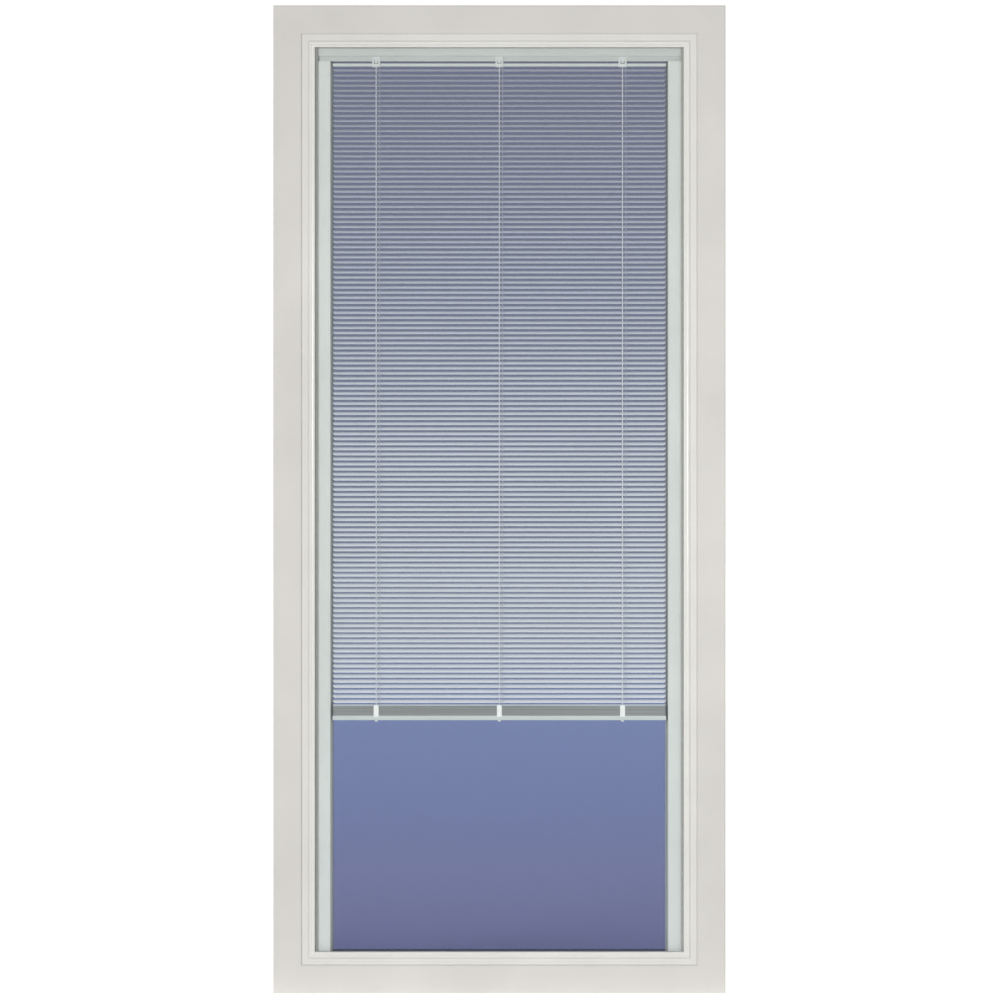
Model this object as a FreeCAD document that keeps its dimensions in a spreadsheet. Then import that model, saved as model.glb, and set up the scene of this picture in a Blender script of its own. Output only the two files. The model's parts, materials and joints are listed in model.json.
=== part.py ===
import FreeCAD, Part
import math
import os
from types import SimpleNamespace

import Sketcher

# Full-view aluminium storm door with a blind sealed between its two panes, in millimetres.
# X runs from the hinge jamb to the latch edge, Y from the photographed face to the back, Z up.
# The origin is on the hinge rail's jamb face, level with the leaf's bottom edge, in its middle plane.

SIZES = {
    # leaf
    "door_width": 902,  # jamb face to latch edge
    "door_height": 1970,
    "leaf_depth": 38,
    "face_width": 56,  # flat face of the stiles and rails
    "frame_wall": 1.6,
    "edge_radius": 3,
    "mitre_overrun": 5,  # how far a mitre cut runs past the bar
    # glazing bead
    "groove_width": 3,
    "groove_depth": 1.8,  # joint between frame and bead
    "land_width": 10,  # flat land between the two grooves
    "land_drop": 1.2,  # land below the frame's face
    "line_inset": 4.6,  # fine line across the land
    "line_width": 0.8,
    "line_depth": 0.5,
    "step_depth": 1.8,  # second groove
    "nose_width": 11.5,
    "nose_drop": 0.4,
    "nose_outer_radius": 1.2,
    "nose_inner_radius": 1.8,
    "cove_inset": 3.2,  # shallow cove along the nose
    "cove_width": 4.6,
    "cove_depth": 0.6,
    "bead_depth": 6.5,
    "snap_leg_wall": 1.5,
    "snap_leg_depth": 10,
    # glazing
    "gasket_depth": 1.5,
    "gasket_cover": 12.5,  # width under the bead
    "gasket_show": 4.4,  # width left in view down the two sides
    "glass_thickness": 3,
    "glass_margin": 64,  # leaf edge to pane edge
    # cassette that carries the blind
    "spacer_margin": 66,
    "spacer_height": 16,
    "channel_reach": 114.4,  # leaf edge to the inner edge of the side channels
    "channel_wall": 1.2,
    "channel_radius": 2,
    "channel_lip": 4.8,  # rear lip behind the slat ends
    "cassette_reach": 110,  # leaf top to the underside of the head cassette
    "rebate_height": 10,
    "rebate_depth": 2.5,
    "rebate_lip": 3.2,  # plain strip under the rebate's groove
    "rebate_groove": 3.4,
    "rebate_groove_depth": 1,
    # blind
    "slat_end_gap": 3.7,  # side channel to slat end
    "headrail_gap": 3.7,
    "headrail_height": 6.4,
    "headrail_depth": 10,
    "rail_radius": 2,
    "cord_spacing": 246,
    "cord_count": 3,
    "cord_radius": 0.6,
    "cord_play": 0.2,
    "lift_cord_offset": 6.8,
    "lift_cord_radius": 0.45,
    "clip_width": 16,
    "clip_height": 21,
    "clip_wall": 1.2,
    "clip_tongue": 5,  # sprung tongue inside a U-shaped slot
    "clip_slot": 1.6,
    "clip_slot_height": 9,
    "clip_slot_rise": 6,
    "slat_width": 12.7,
    "slat_crown": 1.2,
    "slat_flat": 5,  # middle facet of the crown
    "slat_thickness": 0.35,
    "slat_tilt": 28,  # degrees, front edge low
    "slat_start": 5.9,
    "slat_pitch": 10.09,
    "slat_count": 126,
    "slat_corner": 4,
    "stack_gap": 9.4,  # last open slat to the gathered ones
    "stack_height": 20.2,
    "stack_lines": 5,
    "line_cut": 0.5,
    "bottom_rail_height": 9.3,
    "staple_width": 10,
    "staple_wall": 1,
    "staple_lap": 2,
    "plug_radius": 3,
    "plug_height": 2.5,
    # hinge side
    "rail_wall": 2,
    "rail_lip": 3.5,
    "hinge_plate_width": 8,
    "lip_depth": 10,  # part of the hinge stile that covers the rail
    "swing_gap": 6,
    "knuckle_radius": 4,
    "knuckle_relief": 0.5,
    "knuckle_pairs": 6,  # and one more on the jamb side
    "pin_radius": 1.75,
    "pin_clearance": 0.05,
    "hinge_wall": 1.2,
    "hinge_end_gap": 6,
    "axis_offset": 3,  # pin axis behind the leaf's back face
    "screw_radius": 2.4,
    "screw_setback": 6,
    "screw_end": 85,  # rail end to the nearest screw
    "screw_count": 6,
}


class Size:
    """A length with its value and the expression that ties it to the sheet."""

    def __init__(self, text, value):
        self.text = text
        self.value = value

    def __add__(self, other):
        other = as_size(other)
        return Size(f"({self.text} + {other.text})", self.value + other.value)

    def __sub__(self, other):
        other = as_size(other)
        return Size(f"({self.text} - {other.text})", self.value - other.value)

    def __mul__(self, other):
        other = as_size(other)
        return Size(f"({self.text} * {other.text})", self.value * other.value)

    def __truediv__(self, other):
        other = as_size(other)
        return Size(f"({self.text} / {other.text})", self.value / other.value)

    def __neg__(self):
        return Size(f"(-1 * {self.text})", -self.value)


def as_size(number):
    return number if isinstance(number, Size) else Size(str(number), number)


def cosine(angle):
    return Size(f"cos({angle.text})", math.cos(math.radians(angle.value)))


def sine(angle):
    return Size(f"sin({angle.text})", math.sin(math.radians(angle.value)))


doc = FreeCAD.newDocument("StormDoor")
sheet = doc.addObject("Spreadsheet::Sheet", "Sizes")
for row, (alias, number) in enumerate(SIZES.items(), start=1):
    sheet.set(f"A{row}", alias)
    sheet.set(f"B{row}", str(number))
    sheet.setAlias(f"B{row}", alias)
doc.recompute()
S = SimpleNamespace(**{alias: Size(f"Sizes.{alias}", float(sheet.get(alias))) for alias in SIZES})

ZERO = as_size(0)
SAME_SPOT = 1e-6  # how near an edge lies to count as on a spot
CORD_SIDES = 6
NODES = []


# Sketch and feature helpers


def tie(thing, prop, size):
    thing.setExpression(prop, as_size(size).text)


def tie_point(sketch, geometry, point, x, y):
    """Fix one sketch point at two sizes measured from the sketch's origin."""
    for kind, size in (("DistanceX", x), ("DistanceY", y)):
        index = sketch.addConstraint(Sketcher.Constraint(kind, geometry, point, as_size(size).value))
        tie(sketch, f"Constraints[{index}]", size)


def add_polygon(sketch, corners):
    points = [FreeCAD.Vector(as_size(x).value, as_size(y).value, 0) for x, y in corners]
    lines = [
        sketch.addGeometry(Part.LineSegment(start, end))
        for start, end in zip(points, points[1:] + points[:1])
    ]
    for line, following in zip(lines, lines[1:] + lines[:1]):
        sketch.addConstraint(Sketcher.Constraint("Coincident", line, 2, following, 1))
    for line, (x, y) in zip(lines, corners):
        tie_point(sketch, line, 1, x, y)


def add_circle(sketch, x, y, radius):
    centre = FreeCAD.Vector(as_size(x).value, as_size(y).value, 0)
    circle = sketch.addGeometry(Part.Circle(centre, FreeCAD.Vector(0, 0, 1), radius.value))
    tie_point(sketch, circle, 3, x, y)
    index = sketch.addConstraint(Sketcher.Constraint("Radius", circle, radius.value))
    tie(sketch, f"Constraints[{index}]", radius)


def make_sketch(body, plane, polygons=(), circles=(), offset=ZERO):
    """A sketch on one of the body's own origin planes: XY_Plane, XZ_Plane or YZ_Plane."""
    sketch = body.newObject("Sketcher::SketchObject", f"{body.Name}_sketch")
    support = next(plane_ for plane_ in body.Origin.OriginFeatures if plane_.Role == plane)
    sketch.AttachmentSupport = [(support, "")]
    sketch.MapMode = "FlatFace"
    tie(sketch, "AttachmentOffset.Base.z", offset)
    for corners in polygons:
        add_polygon(sketch, corners)
    for circle in circles:
        add_circle(sketch, *circle)
    return sketch


def new_body(label):
    body = doc.addObject("PartDesign::Body", label)
    body.Label = label
    body.AllowCompound = True
    NODES.append(body)
    return body


def pad(body, sketch, length):
    feature = body.newObject("PartDesign::Pad", f"{body.Name}_pad")
    feature.Profile = sketch
    tie(feature, "Length", length)
    return feature


def cut_through(body, sketch):
    """Cut the sketch right through the body, to both sides of its plane."""
    doc.recompute()
    before = body.Shape.Volume
    pocket = body.newObject("PartDesign::Pocket", f"{body.Name}_cut")
    pocket.Profile = sketch
    pocket.Type = "ThroughAll"
    pocket.SideType = "Symmetric"
    doc.recompute()
    if not body.Shape.Volume < before:
        raise RuntimeError(f"{body.Label}: a cut removed nothing")
    return pocket


def repeat(body, features, axis, spacing, count, backwards=False):
    pattern = body.newObject("PartDesign::LinearPattern", f"{body.Name}_pattern")
    pattern.Originals = features
    line = next(axis_ for axis_ in body.Origin.OriginFeatures if axis_.Role == axis)
    pattern.Direction = (line, [""])
    pattern.Reversed = backwards
    pattern.Mode = "Spacing"
    tie(pattern, "Offset", spacing)
    tie(pattern, "Occurrences", count)
    body.Tip = pattern
    return pattern


def upright(label, corners, start, length, hollow=(), circles=()):
    """A bar along Z whose section is drawn in X and Y."""
    body = new_body(label)
    polygons = [corners, hollow] if hollow else [corners]
    pad(body, make_sketch(body, "XY_Plane", polygons, circles, start), length)
    return body


def crosswise(label, corners, start, length, hollow=()):
    """A bar along X whose section is drawn in Y and Z."""
    body = new_body(label)
    polygons = [corners, hollow] if hollow else [corners]
    pad(body, make_sketch(body, "YZ_Plane", polygons, (), start), length)
    return body


def round_edges(body, along, spots, radius):
    """Fillet the long edges that cross the section at the given spots."""
    doc.recompute()
    base = body.Tip
    first, second = {"X": ("y", "z"), "Z": ("x", "y")}[along]
    names = []
    for number, edge in enumerate(base.Shape.Edges, start=1):
        ends = [vertex.Point for vertex in edge.Vertexes]
        for u, v in spots:
            u, v = as_size(u).value, as_size(v).value
            off = [abs(getattr(end, first) - u) + abs(getattr(end, second) - v) for end in ends]
            if len(ends) == 2 and max(off) < SAME_SPOT:
                names.append(f"Edge{number}")
    if len(names) != len(spots):
        raise RuntimeError(f"{body.Label}: {len(names)} edges to round, not {len(spots)}")
    fillet = body.newObject("PartDesign::Fillet", f"{body.Name}_round")
    fillet.Base = (base, names)
    tie(fillet, "Radius", radius)


def box(label, low, high):
    """A plain block between two opposite corners."""
    block = doc.addObject("Part::Box", label)
    block.Label = label
    for prop, axis, start, end in zip(("Length", "Width", "Height"), "xyz", low, high):
        tie(block, prop, as_size(end) - start)
        tie(block, f"Placement.Base.{axis}", start)
    NODES.append(block)
    return block


def rectangle(low_x, low_y, high_x, high_y):
    return [(low_x, low_y), (high_x, low_y), (high_x, high_y), (low_x, high_y)]


# Shared places: a margin is measured inwards from the leaf's outline, a depth from a leaf face

SIGHT = S.face_width + S.groove_width * 2 + S.land_width + S.nose_width
GLASS_DEPTH = S.bead_depth + S.gasket_depth
CAVITY_DEPTH = GLASS_DEPTH + S.glass_thickness
FRONT = -S.leaf_depth / 2
BACK = S.leaf_depth / 2
FACES = {"front": lambda depth: FRONT + depth, "rear": lambda depth: BACK - depth}
SIDES = {"left": lambda margin: as_size(margin), "right": lambda margin: S.door_width - margin}
ENDS = {"bottom": lambda margin: as_size(margin), "top": lambda margin: S.door_height - margin}
CAVITY_FRONT = FACES["front"](CAVITY_DEPTH)
CAVITY_REAR = FACES["rear"](CAVITY_DEPTH)
MIDDLE_X = S.door_width / 2


def mitre_side(body, side, outer, inner):
    """Cut both ends of an upright bar on the diagonals of the leaf's corners."""
    near, far = outer - S.mitre_overrun, inner + S.mitre_overrun
    corners = [(near, near), (far, near), (far, far)]
    triangles = [[(SIDES[side](x), end(z)) for x, z in corners] for end in ENDS.values()]
    cut_through(body, make_sketch(body, "XZ_Plane", triangles))


def mitre_end(body, end, outer, inner):
    """Cut both ends of a crosswise bar on the same diagonals."""
    near, far = outer - S.mitre_overrun, inner + S.mitre_overrun
    corners = [(near, near), (near, far), (far, far)]
    triangles = [[(side(x), ENDS[end](z)) for x, z in corners] for side in SIDES.values()]
    cut_through(body, make_sketch(body, "XZ_Plane", triangles))


# Hinge side: a rail on the jamb, a continuous hinge and its pin

HINGE_EDGE = S.rail_wall + S.knuckle_radius * 2
AXIS_X = S.rail_wall + S.knuckle_radius
AXIS_Y = BACK + S.axis_offset
LIP_BACK = FACES["front"](S.lip_depth)
RAIL_FRONT = LIP_BACK + S.swing_gap
PLATE_REAR = AXIS_Y - S.knuckle_radius - S.knuckle_relief
PLATE_FRONT = PLATE_REAR - S.hinge_plate_width
HINGE_LENGTH = S.door_height - S.hinge_end_gap * 2
KNUCKLE_PITCH = HINGE_LENGTH / (S.knuckle_pairs * 2 + 1)
SCREW_Y = RAIL_FRONT + S.screw_setback
SCREW_PITCH = (S.door_height - S.screw_end * 2) / (S.screw_count - 1)


def make_hinge_rail():
    lip_back = RAIL_FRONT + S.rail_wall
    web = [(ZERO, RAIL_FRONT), (S.rail_lip, RAIL_FRONT), (S.rail_lip, lip_back)]
    web += [(S.rail_wall, lip_back), (S.rail_wall, PLATE_REAR), (ZERO, PLATE_REAR)]
    body = upright("hinge_rail", web, ZERO, S.door_height)
    lowest = [(SCREW_Y, S.screw_end, S.screw_radius)]
    hole = cut_through(body, make_sketch(body, "YZ_Plane", circles=lowest))
    repeat(body, [hole], "Z_Axis", SCREW_PITCH, S.screw_count)


def make_hinge_leaf(label, low_x, first, count):
    """A hinge plate with every second knuckle, the lowest at place number first."""
    high_x = low_x + S.hinge_wall
    plate = rectangle(low_x, PLATE_FRONT, high_x, PLATE_REAR)
    body = upright(label, plate, S.hinge_end_gap, HINGE_LENGTH)
    start = S.hinge_end_gap + KNUCKLE_PITCH * first + S.knuckle_relief / 2
    length = KNUCKLE_PITCH - S.knuckle_relief
    neck = rectangle(low_x, PLATE_REAR, high_x, AXIS_Y)
    neck_pad = pad(body, make_sketch(body, "XY_Plane", [neck], (), start), length)
    bore_radius = S.pin_radius + S.pin_clearance
    rings = [(AXIS_X, AXIS_Y, S.knuckle_radius), (AXIS_X, AXIS_Y, bore_radius)]
    ring_pad = pad(body, make_sketch(body, "XY_Plane", (), rings, start), length)
    repeat(body, [neck_pad, ring_pad], "Z_Axis", KNUCKLE_PITCH * 2, count)


def make_hinge():
    make_hinge_leaf("jamb_hinge_leaf", S.rail_wall, 0, S.knuckle_pairs + 1)
    make_hinge_leaf("door_hinge_leaf", HINGE_EDGE - S.hinge_wall, 1, S.knuckle_pairs)
    pin = new_body("hinge_pin")
    rod = [(AXIS_X, AXIS_Y, S.pin_radius)]
    pad(pin, make_sketch(pin, "XY_Plane", (), rod, S.hinge_end_gap), HINGE_LENGTH)


# Leaf frame: four mitred hollow bars


def make_hinge_stile():
    def section(wall):
        front, rear = FACES["front"](wall), FACES["rear"](wall)
        inner, edge = S.face_width - wall, HINGE_EDGE + wall
        corners = [(as_size(wall), front), (inner, front), (inner, rear), (edge, rear)]
        return corners + [(edge, LIP_BACK - wall), (as_size(wall), LIP_BACK - wall)]

    outer = section(ZERO)
    body = upright("hinge_stile", outer, ZERO, S.door_height, section(S.frame_wall))
    round_edges(body, "Z", [outer[0], outer[3]], S.edge_radius)
    mitre_side(body, "left", ZERO, S.face_width)


def make_latch_stile():
    outer = rectangle(S.door_width - S.face_width, FRONT, S.door_width, BACK)
    wall = S.frame_wall
    low_x = S.door_width - S.face_width + wall
    hollow = rectangle(low_x, FRONT + wall, S.door_width - wall, BACK - wall)
    body = upright("latch_stile", outer, ZERO, S.door_height, hollow)
    round_edges(body, "Z", [outer[1], outer[2]], S.edge_radius)
    mitre_side(body, "right", ZERO, S.face_width)


def make_rail(label, end):
    place = ENDS[end]
    wall = S.frame_wall
    outer = rectangle(FRONT, place(ZERO), BACK, place(S.face_width))
    hollow = rectangle(FRONT + wall, place(wall), BACK - wall, place(S.face_width - wall))
    body = crosswise(label, outer, ZERO, S.door_width, hollow)
    round_edges(body, "X", outer[:2], S.edge_radius)
    mitre_end(body, end, ZERO, S.face_width)
    recess = rectangle(-S.mitre_overrun, LIP_BACK, HINGE_EDGE, BACK + S.mitre_overrun)
    cut_through(body, make_sketch(body, "XY_Plane", [recess]))


# Glazing: moulded snap-in beads, gaskets and two panes


def bead_section():
    """Margin and depth of each corner from the snap leg to the glass side, and radii of the round ones."""
    land = S.face_width + S.groove_width
    line = land + S.line_inset
    line_floor = S.land_drop + S.line_depth
    step = land + S.land_width
    nose = step + S.groove_width
    leg = S.face_width + S.snap_leg_wall
    nose_outer, nose_inner = (nose, S.nose_drop), (SIGHT, S.nose_drop)
    rounded = [(nose_outer, S.nose_outer_radius), (nose_inner, S.nose_inner_radius)]
    cove = nose + S.cove_inset
    corners = [
        (S.face_width, S.snap_leg_depth),
        (S.face_width, S.groove_depth),
        (land, S.groove_depth),
        (land, S.land_drop),
        (line, S.land_drop),
        (line, line_floor),
        (line + S.line_width, line_floor),
        (line + S.line_width, S.land_drop),
        (step, S.land_drop),
        (step, S.step_depth),
        (nose, S.step_depth),
        nose_outer,
        (cove, S.nose_drop),
        (cove + S.cove_width / 2, S.nose_drop + S.cove_depth),
        (cove + S.cove_width, S.nose_drop),
        nose_inner,
        (SIGHT, S.bead_depth),
        (leg, S.bead_depth),
        (leg, S.snap_leg_depth),
    ]
    return corners, rounded


def make_side_bead(face, side):
    def place(spot):
        return SIDES[side](spot[0]), FACES[face](spot[1])

    corners, rounded = bead_section()
    section = [place(spot) for spot in corners]
    body = upright(f"{face}_bead_{side}", section, S.face_width, S.door_height - S.face_width * 2)
    for spot, radius in rounded:
        round_edges(body, "Z", [place(spot)], radius)
    mitre_side(body, side, S.face_width, SIGHT)


def make_end_bead(face, end):
    def place(spot):
        return FACES[face](spot[1]), ENDS[end](spot[0])

    corners, rounded = bead_section()
    section = [place(spot) for spot in corners]
    body = crosswise(f"{face}_bead_{end}", section, S.face_width, S.door_width - S.face_width * 2)
    for spot, radius in rounded:
        round_edges(body, "X", [place(spot)], radius)
    mitre_end(body, end, S.face_width, SIGHT)


def ordered(first, second):
    return (first, second) if first.value < second.value else (second, first)


def make_gaskets(face):
    low_y, high_y = ordered(FACES[face](S.bead_depth), FACES[face](GLASS_DEPTH))
    outer = SIGHT - S.gasket_cover
    inner = SIGHT + S.gasket_show
    for side, place in SIDES.items():
        low_x, high_x = ordered(place(outer), place(inner))
        box(f"{face}_gasket_{side}", (low_x, low_y, outer), (high_x, high_y, S.door_height - outer))
    for end, place in ENDS.items():
        low_z, high_z = ordered(place(outer), place(SIGHT))
        box(f"{face}_gasket_{end}", (inner, low_y, low_z), (S.door_width - inner, high_y, high_z))


def make_pane(face):
    low_y, high_y = ordered(FACES[face](GLASS_DEPTH), FACES[face](CAVITY_DEPTH))
    margin = S.glass_margin
    box(f"{face}_pane", (margin, low_y, margin), (S.door_width - margin, high_y, S.door_height - margin))


# Cassette between the panes

CASSETTE_BOTTOM = S.door_height - S.cassette_reach


def make_channel(side):
    place = SIDES[side]
    wall = S.channel_wall
    bottom = S.spacer_margin + S.spacer_height
    foot, inner = place(S.spacer_margin), place(S.channel_reach)
    tip = place(S.channel_reach + S.channel_lip)
    lip_front = CAVITY_REAR - wall
    outer = [(foot, CAVITY_FRONT), (inner, CAVITY_FRONT), (inner, lip_front)]
    outer += [(tip, lip_front), (tip, CAVITY_REAR), (foot, CAVITY_REAR)]
    near, far = place(S.spacer_margin + wall), place(S.channel_reach - wall)
    hollow = rectangle(near, CAVITY_FRONT + wall, far, lip_front)
    body = upright(f"{side}_channel", outer, bottom, CASSETTE_BOTTOM - bottom, hollow)
    round_edges(body, "Z", [(inner, CAVITY_FRONT)], S.channel_radius)


def make_head_cassette():
    top = S.door_height - S.spacer_margin
    step_y = CAVITY_FRONT + S.rebate_depth
    step_z = CASSETTE_BOTTOM + S.rebate_height
    groove_y = step_y + S.rebate_groove_depth
    groove_low = CASSETTE_BOTTOM + S.rebate_lip
    groove_high = groove_low + S.rebate_groove
    corners = [(CAVITY_FRONT, top), (CAVITY_FRONT, step_z), (step_y, step_z), (step_y, groove_high)]
    corners += [(groove_y, groove_high), (groove_y, groove_low), (step_y, groove_low)]
    corners += [(step_y, CASSETTE_BOTTOM), (CAVITY_REAR, CASSETTE_BOTTOM), (CAVITY_REAR, top)]
    crosswise("head_cassette", corners, S.spacer_margin, S.door_width - S.spacer_margin * 2)


def make_bottom_spacer():
    wall = S.channel_wall
    low, high = S.spacer_margin, S.spacer_margin + S.spacer_height
    outer = rectangle(CAVITY_FRONT, low, CAVITY_REAR, high)
    hollow = rectangle(CAVITY_FRONT + wall, low + wall, CAVITY_REAR - wall, high - wall)
    crosswise("bottom_spacer", outer, low, S.door_width - low * 2, hollow)


# Blind: head rail on clips, open slats on ladder cords, gathered slats and bottom rail

SLAT_MARGIN = S.channel_reach + S.slat_end_gap
SLAT_LENGTH = S.door_width - SLAT_MARGIN * 2
SLAT_HALF = S.slat_width / 2
HEADRAIL_TOP = CASSETTE_BOTTOM - S.headrail_gap
HEADRAIL_BOTTOM = HEADRAIL_TOP - S.headrail_height
CLIP_BOTTOM = HEADRAIL_BOTTOM - S.clip_wall
FIRST_SLAT = HEADRAIL_BOTTOM - S.slat_start
STACK_TOP = FIRST_SLAT - S.slat_pitch * (S.slat_count - 1) - S.stack_gap
STACK_BOTTOM = STACK_TOP - S.stack_height
RAIL_BOTTOM = STACK_BOTTOM - S.bottom_rail_height
STACK_FRONT = -SLAT_HALF
STACK_REAR = SLAT_HALF
FIRST_CORD = MIDDLE_X - S.cord_spacing * (S.cord_count - 1) / 2
CORD_REACH = SLAT_HALF * cosine(S.slat_tilt) + S.slat_thickness + S.cord_play + S.cord_radius
CORD_BOTTOM = STACK_TOP + S.staple_wall


def make_headrail():
    half = S.headrail_depth / 2
    corners = rectangle(-half, HEADRAIL_BOTTOM, half, HEADRAIL_TOP)
    body = crosswise("blind_headrail", corners, SLAT_MARGIN, SLAT_LENGTH)
    round_edges(body, "X", corners[2:], S.rail_radius)


def make_head_clips():
    back = CAVITY_FRONT + S.rebate_depth
    front = back - S.clip_wall
    rear = CORD_REACH + S.cord_radius
    top = CLIP_BOTTOM + S.clip_height
    corners = [(front, CLIP_BOTTOM), (rear, CLIP_BOTTOM), (rear, HEADRAIL_BOTTOM)]
    corners += [(back, HEADRAIL_BOTTOM), (back, top), (front, top)]
    body = crosswise("head_clips", corners, FIRST_CORD - S.clip_width / 2, S.clip_width)
    plate = body.Tip
    low = CLIP_BOTTOM + S.clip_slot_rise
    high = low + S.clip_slot_height
    inner = S.clip_tongue / 2
    outer = inner + S.clip_slot
    floor = low + S.clip_slot
    offsets = [(-outer, high), (-outer, low), (outer, low), (outer, high)]
    offsets += [(inner, high), (inner, floor), (-inner, floor), (-inner, high)]
    slot = [(FIRST_CORD + across, z) for across, z in offsets]
    cut = cut_through(body, make_sketch(body, "XZ_Plane", [slot]))
    repeat(body, [plate, cut], "X_Axis", S.cord_spacing, S.cord_count)


def tilted(along, above):
    """A spot on the first slat: along its width from the middle, and above its chord."""
    turn_y = cosine(S.slat_tilt) * along - sine(S.slat_tilt) * above
    turn_z = sine(S.slat_tilt) * along + cosine(S.slat_tilt) * above
    return turn_y, FIRST_SLAT + turn_z


def make_slats():
    bend = S.slat_flat / 2
    crown = S.slat_crown / 2
    chain = [(-SLAT_HALF, -crown), (-bend, crown), (bend, crown), (SLAT_HALF, -crown)]
    under = [tilted(along, above) for along, above in chain]
    over = [tilted(along, above + S.slat_thickness) for along, above in reversed(chain)]
    body = crosswise("blind_slats", under + over, SLAT_MARGIN, SLAT_LENGTH)
    repeat(body, [body.Tip], "Z_Axis", S.slat_pitch, S.slat_count, backwards=True)
    corner, spare = S.slat_corner, S.slat_width
    clips = []
    for side in SIDES.values():
        for turn in (-1, 1):
            edge = SLAT_HALF * cosine(S.slat_tilt)
            tip = (edge - corner) * turn
            far = (edge + spare) * turn
            out, inside = side(SLAT_MARGIN - spare), side(SLAT_MARGIN + corner + spare)
            clips.append([(out, tip - spare * turn), (out, far), (inside, far)])
    cut_through(body, make_sketch(body, "XY_Plane", clips))


def make_slat_stack():
    corners = rectangle(STACK_FRONT, STACK_BOTTOM, STACK_REAR, STACK_TOP)
    body = crosswise("slat_stack", corners, SLAT_MARGIN, SLAT_LENGTH)
    pitch = S.stack_height / (S.stack_lines + 1)
    low = STACK_BOTTOM + pitch - S.line_cut / 2
    high = low + S.line_cut
    cuts = [
        rectangle(STACK_FRONT - S.line_cut, low, STACK_FRONT + S.line_cut, high),
        rectangle(STACK_REAR - S.line_cut, low, STACK_REAR + S.line_cut, high),
    ]
    cut = cut_through(body, make_sketch(body, "YZ_Plane", cuts))
    repeat(body, [cut], "Z_Axis", pitch, S.stack_lines)


def make_stack_staples():
    front, rear = STACK_FRONT - S.staple_wall, STACK_REAR + S.staple_wall
    top, foot = STACK_TOP + S.staple_wall, STACK_BOTTOM - S.staple_lap
    corners = [(front, foot), (STACK_FRONT, foot), (STACK_FRONT, STACK_TOP), (STACK_REAR, STACK_TOP)]
    corners += [(STACK_REAR, foot), (rear, foot), (rear, top), (front, top)]
    body = crosswise("stack_staples", corners, FIRST_CORD - S.staple_width / 2, S.staple_width)
    repeat(body, [body.Tip], "X_Axis", S.cord_spacing, S.cord_count)


def make_bottom_rail_of_blind():
    corners = rectangle(STACK_FRONT, RAIL_BOTTOM, STACK_REAR, STACK_BOTTOM)
    body = crosswise("blind_bottom_rail", corners, SLAT_MARGIN, SLAT_LENGTH)
    round_edges(body, "X", corners[:2], S.rail_radius)


def strand(x, y, radius):
    """The many-sided section of a thin cord."""
    turns = [2 * math.pi * step / CORD_SIDES for step in range(CORD_SIDES)]
    return [(x + radius * math.cos(turn), y + radius * math.sin(turn)) for turn in turns]


def make_cords():
    ladder = new_body("ladder_cords")
    sections = [strand(FIRST_CORD, CORD_REACH * turn, S.cord_radius) for turn in (-1, 1)]
    length = CLIP_BOTTOM - CORD_BOTTOM
    cords = pad(ladder, make_sketch(ladder, "XY_Plane", sections, (), CORD_BOTTOM), length)
    repeat(ladder, [cords], "X_Axis", S.cord_spacing, S.cord_count)
    lift = new_body("lift_cords")
    section = strand(FIRST_CORD + S.lift_cord_offset, -CORD_REACH, S.lift_cord_radius)
    cord = pad(lift, make_sketch(lift, "XY_Plane", [section], (), STACK_TOP), CLIP_BOTTOM - STACK_TOP)
    repeat(lift, [cord], "X_Axis", S.cord_spacing, S.cord_count)


def make_cord_plugs():
    body = new_body("cord_plugs")
    spot = [(FIRST_CORD, ZERO, S.plug_radius)]
    start = RAIL_BOTTOM - S.plug_height
    plug = pad(body, make_sketch(body, "XY_Plane", (), spot, start), S.plug_height)
    repeat(body, [plug], "X_Axis", S.cord_spacing, S.cord_count)


make_hinge_rail()
make_hinge()
make_hinge_stile()
make_latch_stile()
make_rail("top_rail", "top")
make_rail("bottom_rail", "bottom")
for face in FACES:
    for side in SIDES:
        make_side_bead(face, side)
    for end in ENDS:
        make_end_bead(face, end)
    make_gaskets(face)
    make_pane(face)
for side in SIDES:
    make_channel(side)
make_head_cassette()
make_bottom_spacer()
make_headrail()
make_head_clips()
make_slats()
make_slat_stack()
make_stack_staples()
make_bottom_rail_of_blind()
make_cords()
make_cord_plugs()
doc.recompute()

for thing in doc.Objects:
    if {"Invalid", "Error"} & set(thing.State):
        raise RuntimeError(f"{thing.Label} failed: {thing.State}")
for node in NODES:
    if node.Shape.isNull() or not node.Shape.isValid():
        raise RuntimeError(f"{node.Label} has no valid shape")

os.makedirs("parts", exist_ok=True)
for node in NODES:
    node.Shape.exportStep(os.path.join("parts", f"{node.Label}.step"))
    print(f"{node.Label}: {len(node.Shape.Solids)} solids, {node.Shape.Volume:.0f} mm3")
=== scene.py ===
import json
import math
import random
from collections import namedtuple

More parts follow.
